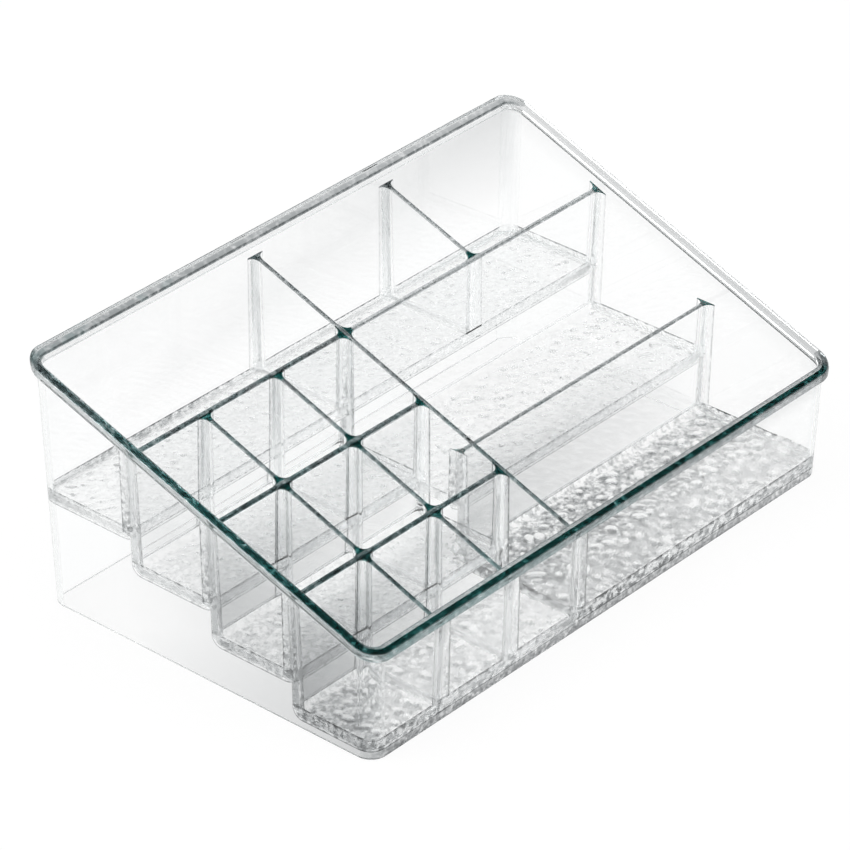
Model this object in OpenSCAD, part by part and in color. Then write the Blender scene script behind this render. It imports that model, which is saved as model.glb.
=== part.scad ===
// Clear stepped vanity organizer: leaning outer walls with a sloped rim, stepped floors,
// nine small slots, three back compartments, a middle tray and a front tray.
// Left to right is X, front to back is Y, and the foot of the outer walls stands on z = 0.

/* [Foot] */
// Width of the foot outline, left to right
base_w = 238; // [228:1:270]
// Depth of the foot outline, front to back
base_d = 145; // [138:1:165]
// Radius of the upright outer corners at the foot
corner_r = 6.5; // [4:0.5:12]

/* [Outer walls] */
// Thickness of the outer walls
wall_t = 1.8; // [1.2:0.1:3]
// Outward lean of the left and right walls, in degrees
side_lean = 2.5; // [0.5:0.5:4]
// Outward lean of the front and back walls, in degrees
front_lean = 1.2; // [0.4:0.2:3]

/* [Rim] */
// Height of the rim's top at its front edge
front_h = 42.5; // [38:0.5:50]
// Height of the rim's top at its back edge
back_h = 97; // [90:1:110]
// How far the rim stands out past the walls
rim_overhang = 2; // [1:0.5:4]
// Height of the rim band
rim_h = 3.2; // [2:0.2:5]

/* [Dividers] */
// Thickness of the dividers and cross walls
divider_t = 1.6; // [1.2:0.1:2.4]
// How far the tops of the dividers lie below the top of the rim
divider_drop = 6.3; // [5:0.1:9]
// Distance from the foot's left side to the full-depth divider
slots_w = 104; // [98:1:112]
// Distance from one slot divider to the next, and from one slot wall to the next
slot_pitch = 35; // [30:0.5:35]
// Distance from the front of the foot to the front slot wall
first_row_y = 34.2; // [30:0.2:36]
// Distance from the foot's right side to the divider in the back row
back_end_w = 66.2; // [50:0.2:90]
// Distance from the front of the foot to the tray divider
tray_divider_y = 53.3; // [46:0.1:60]
// Height of the tray divider's top
tray_divider_h = 48; // [40:1:52]

/* [Floors] */
// Thickness of the floors
floor_t = 2; // [1.4:0.1:3]
// Height of the front floors' upper face
front_floor_h = 5.7; // [4:0.1:8]
// Rise from one slot floor to the next
step_h = 12.8; // [11:0.1:14]
// Height of the middle tray's upper face
tray_floor_h = 27.4; // [24:0.1:30]

/* [Hidden] */

// Segments in a full turn of the outline's corners
corner_fn = 48;
// Overrun of a cut past the faces that it cuts
overrun = 1;
// A length larger than the part, for cuts that only one of their faces shapes
reach = base_w + base_d;
half_t = divider_t / 2;
clear_tint = [0.78, 0.89, 0.89, 0.55];
edge_tint = [0.30, 0.52, 0.52, 0.75];

// How far a wall has leaned out at height z
function lean_x(z) = z * tan(side_lean);
function lean_y(z) = z * tan(front_lean);

// The rim's top is one plane, which rises from its front edge to its back edge
rim_front_y = -base_d / 2 - lean_y(front_h) - rim_overhang;
rim_back_y = base_d / 2 + lean_y(back_h) + rim_overhang;
rim_slope = (back_h - front_h) / (rim_back_y - rim_front_y);
function rim_z(y) = front_h + rim_slope * (y - rim_front_y);
// Middle of the whole part, front to back, which becomes the origin
middle_y = (rim_front_y + rim_back_y) / 2;

// Centre of a slot wall, counted from the front, and of a long divider, counted to the left
function row_y(k) = -base_d / 2 + first_row_y + k * slot_pitch;
function column_x(k) = slots_w - base_w / 2 - k * slot_pitch;
function floor_h(k) = front_floor_h + k * step_h;
tray_y = -base_d / 2 + tray_divider_y;

// Rectangle with round corners, centred, with its points listed anticlockwise
module outline(w, d, r) {
  quarter = corner_fn / 4;
  polygon([
    for (corner = [0:3], k = [0:quarter])
      let (
        a = 90 * corner + 90 * k / quarter,
        sx = (corner == 0 || corner == 3) ? 1 : -1,
        sy = (corner < 2) ? 1 : -1
      )
      [sx * (w / 2 - r) + r * cos(a), sy * (d / 2 - r) + r * sin(a)]
  ]);
}

// Block inside walls that lean outward, grown from the foot outline by grow, between two heights
module leaning_block(grow, low, high) {
  function width(z) = base_w + 2 * (grow + lean_x(z));
  function depth(z) = base_d + 2 * (grow + lean_y(z));
  translate([0, 0, low])
    linear_extrude(height = high - low, slices = 1,
                   scale = [width(high) / width(low), depth(high) / depth(low)])
      outline(width(low), depth(low), corner_r + grow);
}

// Everything inside the outer walls
module inside() {
  leaning_block(-wall_t, -overrun, back_h + overrun);
}

// Everything lower than a plane that lies drop below the top of the rim
module under_rim(drop) {
  rotate([90, 0, 90])
    linear_extrude(height = 2 * reach, center = true)
      polygon([
        [-reach, -reach], [reach, -reach],
        [reach, rim_z(reach) - drop], [-reach, rim_z(-reach) - drop]
      ]);
}

// The quarter of the plan that belongs to one outer wall, cut at 45 degrees through the corners
module wall_zone(side) {
  x_out = base_w / 2 + base_d;
  y_out = base_d / 2 + base_d;
  x_in = (base_w - base_d) / 2;
  points =
    side == "front" ? [[-x_out, -y_out], [x_out, -y_out], [x_in, 0], [-x_in, 0]] :
    side == "back" ? [[-x_out, y_out], [-x_in, 0], [x_in, 0], [x_out, y_out]] :
    side == "left" ? [[-x_out, -y_out], [-x_in, 0], [-x_out, y_out]] :
    [[x_out, -y_out], [x_out, y_out], [x_in, 0]];
  translate([0, 0, -overrun])
    linear_extrude(height = back_h + 2 * overrun)
      polygon(points);
}

module outer_wall(side) {
  color(clear_tint)
    intersection() {
      difference() {
        leaning_block(0, 0, back_h + overrun);
        inside();
      }
      under_rim(rim_h);
      wall_zone(side);
    }
}

module rim_rail(side) {
  color(edge_tint)
    intersection() {
      difference() {
        leaning_block(rim_overhang, 0, back_h + overrun);
        inside();
        under_rim(rim_h);
      }
      under_rim(0);
      wall_zone(side);
    }
}

// Level floor between two x and two y limits, where a limit of reach means up to the outer wall
module floor_plate(x_low, x_high, y_low, y_high, top) {
  color(clear_tint)
    intersection() {
      translate([x_low, y_low, top - floor_t])
        cube([x_high - x_low, y_high - y_low, floor_t]);
      inside();
    }
}

// Upright wall across the part, centred on y, whose top follows the rim's slope
module cross_wall(x_low, x_high, y, low) {
  color(clear_tint)
    intersection() {
      translate([x_low, y - half_t, low])
        cube([x_high - x_low, divider_t, back_h]);
      under_rim(divider_drop);
      inside();
    }
}

// Upright divider that runs front to back, centred on x, whose top follows the rim's slope
module long_divider(x, y_low, y_high, low) {
  color(clear_tint)
    intersection() {
      translate([x - half_t, y_low, low])
        cube([divider_t, y_high - y_low, back_h]);
      under_rim(divider_drop);
      inside();
    }
}

// One length of a slot divider: row 0 reaches the front wall, the others stand between slot walls
module slot_divider(column, row) {
  y_low = row == 0 ? -reach : row_y(row - 1) + half_t;
  long_divider(column_x(column), y_low, row_y(row) - half_t, floor_h(row));
}

module front_wall() { outer_wall("front"); }
module back_wall() { outer_wall("back"); }
module left_wall() { outer_wall("left"); }
module right_wall() { outer_wall("right"); }

module front_rim() { rim_rail("front"); }
module back_rim() { rim_rail("back"); }
module left_rim() { rim_rail("left"); }
module right_rim() { rim_rail("right"); }

module back_row_floor() {
  floor_plate(-reach, reach, row_y(2) + half_t, reach, floor_h(3));
}
module rear_slot_floor() {
  floor_plate(-reach, column_x(0) - half_t, row_y(1) + half_t, row_y(2) - half_t, floor_h(2));
}
module middle_slot_floor() {
  floor_plate(-reach, column_x(0) - half_t, row_y(0) + half_t, row_y(1) - half_t, floor_h(1));
}
module front_slot_floor() {
  floor_plate(-reach, column_x(0) - half_t, -reach, row_y(0) - half_t, floor_h(0));
}
module middle_tray_floor() {
  floor_plate(column_x(0) + half_t, reach, tray_y + half_t, row_y(2) - half_t, tray_floor_h);
}
module front_tray_floor() {
  floor_plate(column_x(0) + half_t, reach, -reach, tray_y - half_t, floor_h(0));
}

// Each cross wall goes on down, as the riser of the step, to the underside of the floor in front
module back_row_wall_left() {
  cross_wall(-reach, column_x(0) - half_t, row_y(2), floor_h(2) - floor_t);
}
module back_row_wall_right() {
  cross_wall(column_x(0) + half_t, reach, row_y(2), tray_floor_h - floor_t);
}
module rear_slot_wall() {
  cross_wall(-reach, column_x(0) - half_t, row_y(1), floor_h(1) - floor_t);
}
module front_slot_wall() {
  cross_wall(-reach, column_x(0) - half_t, row_y(0), floor_h(0) - floor_t);
}

// Low wall between the two trays, with a level top
module tray_divider() {
  low = floor_h(0) - floor_t;
  color(clear_tint)
    intersection() {
      translate([column_x(0) + half_t, tray_y - half_t, low])
        cube([reach, divider_t, tray_divider_h - low]);
      inside();
    }
}

// Full-depth divider, whose lower edge steps down with the lower of the floors at its sides
module center_divider() {
  low_front = floor_h(0) - floor_t;
  low_middle = min(floor_h(1), tray_floor_h) - floor_t;
  low_rear = min(floor_h(2), tray_floor_h) - floor_t;
  color(clear_tint)
    intersection() {
      translate([column_x(0) - half_t, 0, 0])
        rotate([90, 0, 90])
          linear_extrude(height = divider_t)
            polygon([
              [-reach, low_front], [tray_y + half_t, low_front],
              [tray_y + half_t, low_middle], [row_y(1) + half_t, low_middle],
              [row_y(1) + half_t, low_rear], [row_y(2) + half_t, low_rear],
              [row_y(2) + half_t, floor_h(3)], [reach, floor_h(3)],
              [reach, reach], [-reach, reach]
            ]);
      under_rim(divider_drop);
      inside();
    }
}
module back_row_divider() {
  long_divider(base_w / 2 - back_end_w, row_y(2) + half_t, reach, floor_h(3));
}

module left_slot_divider_rear() { slot_divider(2, 2); }
module left_slot_divider_middle() { slot_divider(2, 1); }
module left_slot_divider_front() { slot_divider(2, 0); }
module right_slot_divider_rear() { slot_divider(1, 2); }
module right_slot_divider_middle() { slot_divider(1, 1); }
module right_slot_divider_front() { slot_divider(1, 0); }

// Moves the middle of the part's depth to the origin
module placed() {
  translate([0, -middle_y, 0]) children();
}

placed() front_wall();
placed() back_wall();
placed() left_wall();
placed() right_wall();
placed() front_rim();
placed() back_rim();
placed() left_rim();
placed() right_rim();
placed() back_row_floor();
placed() rear_slot_floor();
placed() middle_slot_floor();
placed() front_slot_floor();
placed() middle_tray_floor();
placed() front_tray_floor();
placed() back_row_wall_left();
placed() back_row_wall_right();
placed() rear_slot_wall();
placed() front_slot_wall();
placed() center_divider();
placed() back_row_divider();
placed() tray_divider();
placed() left_slot_divider_rear();
placed() left_slot_divider_middle();
placed() left_slot_divider_front();
placed() right_slot_divider_rear();
placed() right_slot_divider_middle();
placed() right_slot_divider_front();
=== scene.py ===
"""Clear stepped vanity organizer: the walls, rim, floors and dividers of one moulding, as pieces."""

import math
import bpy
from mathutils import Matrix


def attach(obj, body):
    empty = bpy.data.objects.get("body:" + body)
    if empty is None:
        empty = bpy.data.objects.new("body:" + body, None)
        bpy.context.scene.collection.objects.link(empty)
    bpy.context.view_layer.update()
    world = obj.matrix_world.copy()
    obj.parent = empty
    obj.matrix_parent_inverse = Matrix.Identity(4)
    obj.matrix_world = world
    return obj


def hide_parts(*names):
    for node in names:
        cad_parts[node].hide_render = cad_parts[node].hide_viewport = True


bl_info = {
    "name": "Clear Vanity Organizer",
    "version": (1, 0, 0),
    "blender": (4, 5, 0),
    "location": "View3D > Sidebar > Organizer",
    "description": "Builds the clear plates, rim, pebbled floors and studio of a stepped vanity organizer",
    "category": "Object",
}

import bmesh
import bpy
import numpy as np
from mathutils import Matrix, Vector

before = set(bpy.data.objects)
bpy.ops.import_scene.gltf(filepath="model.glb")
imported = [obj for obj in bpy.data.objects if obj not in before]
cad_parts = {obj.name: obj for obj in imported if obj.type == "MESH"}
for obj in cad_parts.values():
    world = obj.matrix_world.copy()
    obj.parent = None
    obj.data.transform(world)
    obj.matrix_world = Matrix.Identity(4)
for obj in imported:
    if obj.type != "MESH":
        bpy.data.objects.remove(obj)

MM = 0.001
# Vertex attributes: the top edges' tint, partly the plastic's own teal and partly painted shade; the share of
# painted shade that greys a face; and the graininess of the relief and of the painted shade's mottling
EDGE_TINT_AND_SHADE = "edge_tint"
PAINTED_SHADE = "smoke"
GRAIN = "grain"

# How pieces of the moulding run into each other, so that no two faces lie in one plane
SEAT = 0.2 * MM
SHY = 0.05 * MM
TOP_SHY = 0.08 * MM
SEAM = 0.6 * MM
LAP = 0.05 * MM
WELD = 0.001 * MM

# Steps of the mesh round a wall's corner, across a fillet or cove, round a bend and across a lower fillet
CORNER_STEPS = 24
FILLET_STEPS = 7
ARC_STEPS = 6
UNDER_STEPS = 4
# How often a height is worked out again until it lies on the sloped top
RIM_ROUNDS = 6
PLATE_ROUNDS = 3


# Sizes and colours


def length(name, description, metres):
    return bpy.props.FloatProperty(name=name, description=description, default=metres, unit="LENGTH")


def lean(name, description, degrees):
    turn = math.radians(degrees)
    return bpy.props.FloatProperty(name=name, description=description, default=turn, unit="ROTATION")


def plain_number(name, description, value):
    return bpy.props.FloatProperty(name=name, description=description, default=value)


def tone(name, description, shade):
    return bpy.props.FloatVectorProperty(name=name, description=description, default=shade, subtype="COLOR")


class ORGANIZER_PG_sizes(bpy.types.PropertyGroup):
    """Sizes of the moulding, the same as in the CAD source."""

    foot_w: length("Foot width", "Width of the foot outline", 0.238)
    foot_d: length("Foot depth", "Depth of the foot outline", 0.145)
    corner_r: length("Corner radius", "Radius of the upright corners at the foot", 0.0065)
    wall_t: length("Wall", "Thickness of the outer walls", 0.0018)
    side_lean: lean("Side lean", "Outward lean of the side walls", 2.5)
    front_lean: lean("Front lean", "Outward lean of the front and back walls", 1.2)
    front_h: length("Front height", "Height of the rim's top at its front edge", 0.0425)
    back_h: length("Back height", "Height of the rim's top at its back edge", 0.097)
    rim_overhang: length("Rim overhang", "How far the rim stands out past the walls", 0.002)
    rim_h: length("Rim height", "Height of the rim band", 0.0032)
    divider_t: length("Divider", "Thickness of the dividers", 0.0016)
    divider_drop: length("Divider drop", "How far divider tops lie below the rim's top", 0.0063)
    slots_w: length("Slots width", "Foot's left side to the full-depth divider", 0.104)
    slot_pitch: length("Slot pitch", "Distance from slot divider to slot divider", 0.035)
    first_row_y: length("First row", "Foot's front to the front slot wall", 0.0342)
    back_end_w: length("Back end", "Foot's right side to the back row's divider", 0.0662)
    tray_divider_y: length("Tray divider", "Foot's front to the tray divider", 0.0533)
    tray_divider_h: length("Tray divider height", "Height of the tray divider's top", 0.048)
    floor_t: length("Floor", "Thickness of the floors", 0.002)
    front_floor_h: length("Front floor height", "Height of the front floors", 0.0057)
    step_h: length("Step", "Rise from one slot floor to the next", 0.0128)
    tray_floor_h: length("Tray floor height", "Height of the middle tray's floor", 0.0274)
    cove_r: length("Cove radius", "Radius where a floor turns up into a wall", 0.0021)
    under_r: length("Lower fillet", "Radius under a floor where it meets a wall", 0.0011)
    flare_r: length("Junction fillet", "Radius at the top where a divider meets a wall", 0.003)
    flare_growth: plain_number("Fillet growth", "Growth of that radius per length downwards", 0.014)
    edge_r: length("Edge radius", "Rounding of the dividers' top edges", 0.00032)
    pebble_h: length("Pebble height", "Height of the pebbles on the floors", 0.0007)
    pebble_w: length("Pebble spacing", "Mean distance from pebble to pebble", 0.0042)
    pebble_pitch: length("Pebble mesh pitch", "Distance between mesh lines on a floor", 0.0006)


class ORGANIZER_PG_looks(bpy.types.PropertyGroup):
    """Colours of the clear plastic, of its painted shade and of the studio."""

    body: tone("Clear plastic", "What passes through one clear face", (0.997, 0.999, 0.999))
    # The top edges' colours are partly the plastic's own teal and partly painted shade: darker at the front,
    # lighter and greyer at the back
    edge_front: tone("Edge at the front", "What passes through a top edge at the front", (0.007, 0.075, 0.07))
    edge_back: tone("Edge at the back", "What passes through a top edge at the back", (0.13, 0.145, 0.15))
    # Painted shade: the grey that stands in for the shadowed floor seen between the pebbles and through the
    # risers at the front
    smoky: tone(
        "Smoky plastic", "What passes between the pebbles and through the risers at the front",
        (0.42, 0.43, 0.435),
    )
    ior: plain_number("Index of refraction", "Of the clear plastic", 1.5)
    floor: tone("Studio floor", "Colour of the floor", (1.0, 1.0, 1.0))
    dark: tone("Studio dark", "Colour of the dark flag over the organizer", (0.06, 0.07, 0.07))


def sizes():
    return bpy.context.scene.organizer_sizes


def looks():
    return bpy.context.scene.organizer_looks


# Places, the same as in the CAD source


def lean_x(z):
    return z * math.tan(sizes().side_lean)


def lean_y(z):
    return z * math.tan(sizes().front_lean)


class Layout:
    """Places worked out from the sizes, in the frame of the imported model."""

    def __init__(self):
        s = sizes()
        low = -s.foot_d / 2 - lean_y(s.front_h) - s.rim_overhang
        high = s.foot_d / 2 + lean_y(s.back_h) + s.rim_overhang
        self.slope = (s.back_h - s.front_h) / (high - low)
        self.middle = (low + high) / 2
        self.rim_front = low - self.middle
        self.half = s.divider_t / 2
        self.columns = [s.slots_w - s.foot_w / 2 - k * s.slot_pitch for k in range(3)]
        self.rows = [self.depth(s.first_row_y + k * s.slot_pitch) for k in range(3)]
        self.floors = [s.front_floor_h + k * s.step_h for k in range(4)]
        self.tray_y = self.depth(s.tray_divider_y)
        self.back_x = s.foot_w / 2 - s.back_end_w

    def depth(self, from_front):
        return from_front - sizes().foot_d / 2 - self.middle

    def rim_z(self, y):
        return sizes().front_h + self.slope * (y - self.rim_front)

    def top_z(self, y):
        return self.rim_z(y) - sizes().divider_drop

    def left(self, z):
        s = sizes()
        return -(s.foot_w / 2 + lean_x(z) - s.wall_t)

    def right(self, z):
        return -self.left(z)

    def front(self, z):
        s = sizes()
        return -(s.foot_d / 2 + lean_y(z) - s.wall_t) - self.middle

    def back(self, z):
        s = sizes()
        return s.foot_d / 2 + lean_y(z) - s.wall_t - self.middle

    def flare(self, y, z):
        """Radius of the upright fillets at a place."""
        s = sizes()
        return s.flare_r + s.flare_growth * max(0.0, self.top_z(y) - z)


# Meshes


# Bend at which an edge turns sharp: usually, on the floors, and where two sides join
SHARP = math.radians(40)
FLOOR_SHARP = math.radians(75)
JOINT_SHARP = math.radians(8)
# How strongly large faces keep their own normals
FLAT_WEIGHT = 100


def add_object(name, data):
    made = bpy.data.objects.new(name, data)
    bpy.context.scene.collection.objects.link(made)
    return made


def add_piece(node, verts, faces, mask, smoke, grain, sharp=SHARP, joints=()):
    """Makes a closed mesh that stands for a CAD node.

    mask, the shade list and grain give each vertex its edge tint, which is partly painted shade, its share of
    painted shade, and its graininess. Edges turn sharp where they bend by more than sharp, and sooner between
    two vertices of joints.
    """
    mesh = bpy.data.meshes.new(node + "_clear")
    mesh.from_pydata([tuple(v) for v in verts], [], faces)
    for name, values in ((EDGE_TINT_AND_SHADE, mask), (PAINTED_SHADE, smoke), (GRAIN, grain)):
        values = np.zeros(len(verts)) if values is None else values
        layer = mesh.attributes.new(name, "FLOAT", "POINT")
        layer.data.foreach_set("value", np.asarray(values, dtype=np.float32))
    bm = bmesh.new()
    bm.from_mesh(mesh)
    at_joint = bm.verts.layers.int.new("at_joint")
    bm.verts.ensure_lookup_table()
    for k in joints:
        bm.verts[k][at_joint] = 1
    bmesh.ops.remove_doubles(bm, verts=bm.verts, dist=WELD)
    bmesh.ops.recalc_face_normals(bm, faces=bm.faces)
    open_edges = [e for e in bm.edges if not e.is_manifold]
    if open_edges:
        raise RuntimeError(f"{node} isn't closed: {len(open_edges)} open edges")
    if bm.calc_volume(signed=True) < 0:
        bmesh.ops.reverse_faces(bm, faces=bm.faces)
    for face in bm.faces:
        face.smooth = True
    for edge in bm.edges:
        jointed = all(v[at_joint] for v in edge.verts)
        edge.smooth = edge.calc_face_angle() < (JOINT_SHARP if jointed else sharp)
    bm.verts.layers.int.remove(at_joint)
    bm.to_mesh(mesh)
    bm.free()
    piece = add_object(node + "_clear", mesh)
    mesh.materials.append(bpy.data.materials["clear plastic"])
    flat = piece.modifiers.new("flat_faces_stay_flat", "WEIGHTED_NORMAL")
    flat.keep_sharp, flat.weight = True, FLAT_WEIGHT
    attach(piece, "root")
    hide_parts(node)
    return piece


def bridge(a, b, places_a, places_b):
    """Triangles between two rows of vertices that run the same way, with where each lies along them."""
    faces, i, j = [], 0, 0
    while i < len(a) - 1 or j < len(b) - 1:
        if j == len(b) - 1 or (i < len(a) - 1 and places_a[i + 1] <= places_b[j + 1]):
            faces.append((a[i], a[i + 1], b[j]))
            i += 1
        else:
            faces.append((a[i], b[j + 1], b[j]))
            j += 1
    return faces


def loft(rings):
    """Faces that join rings of equal length, with a cap on the first and on the last."""
    n = len(rings[0])
    verts = [p for ring in rings for p in ring]
    faces = []
    for k in range(len(rings) - 1):
        for i in range(n):
            j = (i + 1) % n
            faces.append((k * n + i, k * n + j, (k + 1) * n + j, (k + 1) * n + i))
    faces.append(tuple(range(n - 1, -1, -1)))
    faces.append(tuple(range((len(rings) - 1) * n, len(rings) * n)))
    return verts, faces


# Outer walls and rim

# Each side turns both of its corners: (x side, y side, first angle, last angle) of each. At a corner
# the front and back pieces run out as a wedge under the wall's skin, or on top of the rim, and the
# left and right pieces take the rest.
SIDES = {
    "front": ((-1, -1, 180, 270), (1, -1, 270, 360)),
    "right": ((1, -1, 270, 360), (1, 1, 0, 90)),
    "back": ((1, 1, 0, 90), (-1, 1, 90, 180)),
    "left": ((-1, 1, 90, 180), (-1, -1, 180, 270)),
}
NEIGHBOURS = {
    "front": ("left", "right"), "right": ("front", "back"),
    "back": ("right", "left"), "left": ("back", "front"),
}
LAPPED = ("front", "back")

# Share of painted shade on each wall at its first and last corner: near the foot, and under the rail down to
# a depth
FOOT_SHADE = {"front": (0.7, 0.5), "right": (0.0, 0.0), "back": (0.0, 0.0), "left": (-0.08, 0.25)}
TOP_SHADE = {"front": (0.12, 0.12), "right": (0.04, 0.04), "back": (0.17, -0.12), "left": (0.0, 0.05)}
SHADE_DEPTH = {"front": 9 * MM, "right": 9 * MM, "back": 40 * MM, "left": 9 * MM}
# How far edges are rounded: the whole round, and how deep its middle point lies
FOOT_ROUND = (0.3 * MM, 0.1 * MM)
RIM_OUTER_ROUND = (0.7 * MM, 0.2 * MM)
RIM_INNER_ROUND = (0.4 * MM, 0.12 * MM)
# Half the width over which the inner strip's tint changes to the rest
TINT_STEP = 0.1 * MM


def shell_point(place, station, grow, z):
    """A point of a leaning outline that has grown by grow at the foot."""
    s = sizes()
    sx, sy, angle = station
    r = s.corner_r + grow
    x = sx * (s.foot_w / 2 - s.corner_r) + r * math.cos(math.radians(angle))
    y = sy * (s.foot_d / 2 - s.corner_r) + r * math.sin(math.radians(angle))
    x *= 1 + lean_x(z) / (s.foot_w / 2 + grow)
    y *= 1 + lean_y(z) / (s.foot_d / 2 + grow)
    return x, y - place.middle, z


def drop_point(place, station, grow, drop):
    """The same, at a height that lies drop below the top of the rim."""
    z = place.rim_z(0)
    for _ in range(RIM_ROUNDS):
        x, y, _z = shell_point(place, station, grow, z)
        z = place.rim_z(y) - drop
    return shell_point(place, station, grow, z)


def side_stations(side):
    """Stations along one side: place, how far it is into a corner (0 to 1), and which corner."""
    first, last = SIDES[side]
    steps = [k / CORNER_STEPS for k in range(CORNER_STEPS + 1)]
    run = [((*first[:2], first[2] + (first[3] - first[2]) * k), 1 - k, 0) for k in steps]
    return run + [((*last[:2], last[2] + (last[3] - last[2]) * k), k, 1) for k in steps]


def wall_ring(place, side, station, turned, corner):
    """Outline of a wall's section at a station, and each point's tint, share of painted shade and graininess.
    """
    s = sizes()
    e, f = FOOT_ROUND
    t, top = s.wall_t, s.rim_h
    # Painted shade low on the walls near the foot, and on the wall just under the rail
    foot, under = FOOT_SHADE[side][corner], TOP_SHADE[side][corner]
    shade = top + SHADE_DEPTH[side]
    above = foot if side == "left" else 0.0
    low, high = s.front_floor_h - 2 * s.floor_t, s.front_floor_h - s.floor_t / 2
    profile = [
        (-e, "z", 0.0, foot), (-f, "z", f, foot), (0.0, "z", e, foot),
        (0.0, "z", low, foot), (0.0, "z", high, above),
        (0.0, "drop", shade, above / 2), (0.0, "drop", top, under),
        (-SHY, "drop", top - 2 * SHY, 0.0), (-SHY, "drop", top - SEAM, 0.0),
        (-t + SHY, "drop", top - SEAM, 0.0), (-t + SHY, "drop", top - 2 * SHY, 0.0),
        (-t, "drop", top, under), (-t, "drop", shade, above / 2), (-t, "z", high, above),
        (-t, "z", low, foot), (-t, "z", e, foot), (-t + f, "z", f, foot), (-t + e, "z", 0.0, foot),
    ]
    ring, smoke, grain = [], [], []
    for k, (grow, kind, value, share) in enumerate(profile):
        outside = k < len(profile) // 2
        if turned and side in LAPPED:
            grow = min(grow, LAP / 2 - t * turned - (0 if outside else LAP / 5))
            value += LAP / 2
        elif turned:
            grow = max(grow, -LAP / 2 - t * (1 - turned) + (LAP / 5 if outside else 0))
        point = shell_point if kind == "z" else drop_point
        ring.append(point(place, station, grow, value))
        smoke.append(share * (1 - turned))
        grain.append((1 - turned) if side == "front" and kind == "z" else 0.0)
    return ring, [0.0] * len(ring), smoke, grain


def rim_ring(place, side, station, turned, corner):
    """The same for a rail."""
    s = sizes()
    e, f = RIM_OUTER_ROUND
    i, j = RIM_INNER_ROUND
    o, t, h = s.rim_overhang, s.wall_t, s.rim_h
    inner = [(-t, h), (-t, i + e), (-t, i), (-t + j, j), (-t + i, 0.0)]
    outer = [(o - e, 0.0), (o - f, f), (o, e), (o, e + f), (o, h - e), (o - f, h - f), (o - e, h)]
    own = RIM_TINT_AND_SHADE[side][corner]
    near = RIM_TINT_AND_SHADE[NEIGHBOURS[side][corner]][1 - corner]
    line, strip, top, lip, width, haze = (a + (b - a) * turned for a, b in zip(own, near))
    band = [(-t + width - TINT_STEP, 0.0), (-t + width + TINT_STEP, 0.0)]
    tints = [0.0, 0.0, line, line, strip, strip, top, top, lip, lip, lip, lip, lip, 0.0]
    ring, mask = [], []
    for k, (grow, drop) in enumerate(inner + band + outer):
        tint = tints[k]
        if turned:
            limit = h * (1 - turned) + LAP / 2 if side in LAPPED else h * turned - LAP / 2
            if (drop > limit) if side in LAPPED else (drop < limit):
                side_line = inner[::-1] if k < len(inner) else outer
                if drop > 0 or k < len(inner) or k >= len(inner) + len(band):
                    grow = float(np.interp(limit, [d for _, d in side_line], [g for g, _ in side_line]))
                drop, tint = limit, 0.0
        ring.append(drop_point(place, station, grow, drop))
        mask.append(tint)
    return ring, mask, [haze] * len(ring), [0.0] * len(ring)


def make_side(side, section, part):
    """Lofts a wall or a rail from its first corner to its last."""
    place, stations = Layout(), side_stations(side)
    rings, mask, smoke, grain = [], [], [], []
    for station in stations:
        ring, tints, shares, grains = section(place, side, *station)
        rings.append(ring)
        mask += tints
        smoke += shares
        grain += grains
    verts, faces = loft(rings)
    size = len(rings[0])
    joints = [v for v in range(len(verts)) if stations[v // size][1] == 0]
    add_piece(f"{side}_{part}", verts, faces, mask, smoke, grain, joints=joints)


# Tints of the rails at their first and last corners, partly the plastic's teal and partly painted shade that
# differs
# from side to side: inner edge, inner strip of the top, rest of the top, outer lip; width of the inner strip;
# and the share of painted shade over the whole rail
RIM_TINT_AND_SHADE = {
    "front": ((1.6, 0.1, 2.2, 0.45, 1.5 * MM, 0.05), (1.5, 0.1, 1.9, 0.4, 1.5 * MM, 0.05)),
    "right": ((0.0, 0.0, 0.0, 0.0, 1.2 * MM, 0.24), (0.0, 0.0, 0.0, 0.0, 1.2 * MM, 0.16)),
    "back": ((0.8, 0.25, 0.03, 1.0, 2.0 * MM, 0.04), (1.0, 0.4, 0.05, 1.2, 2.0 * MM, 0.06)),
    "left": ((0.9, 0.5, 0.95, 0.1, 0.8 * MM, 0.06), (1.5, 0.9, 1.7, 0.06, 0.8 * MM, 0.04)),
}


class ORGANIZER_OT_walls(bpy.types.Operator):
    """Make the four leaning outer walls"""

    bl_idname = "organizer.walls"
    bl_label = "Outer Walls"

    def execute(self, context):
        for side in SIDES:
            make_side(side, wall_ring, "wall")
        return {"FINISHED"}


class ORGANIZER_OT_rim(bpy.types.Operator):
    """Make the four rails of the sloped rim"""

    bl_idname = "organizer.rim"
    bl_label = "Rim"

    def execute(self, context):
        for side in SIDES:
            make_side(side, rim_ring, "rim")
        return {"FINISHED"}


# Dividers and cross walls


# Tints of a plate's two top edges, the low side first: partly the plastic's teal, partly painted shade
ALONG_Y_TINT_AND_SHADE = (0.5, 0.85)
BACK_ROW_TINT_AND_SHADE = (0.3, 0.6)
ALONG_X_TINT_AND_SHADE = (0.95, 0.5)
RIGHT_TINT_AND_SHADE = (0.4, 0.14)
TRAY_TINT_AND_SHADE = (0.55, 0.22)
# Shares of painted shade on the risers at their left and right ends, the left risers from the front, and on
# the tray divider
RISER_SHADE = ((0.4, 0.0), (0.28, 0.0), (0.06, 0.0))
TRAY_SHADE = (0.2, -0.06)
# Tint of the top edges in a junction, and at the back wall, with the depths between which it changes; partly
# painted shade, darker at the front
JUNCTION_TINT_AND_SHADE = 1.8
BACK_JUNCTION_TINT_AND_SHADE = 1.1
BACK_JUNCTIONS = (0.04, 0.07)
# Least share of painted shade and graininess of the cross walls' flared left ends, and graininess of thin
# lines
END_SHADE = 0.4
END_GRAIN = 3.0
LINE_GRAIN = 0.35
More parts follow.
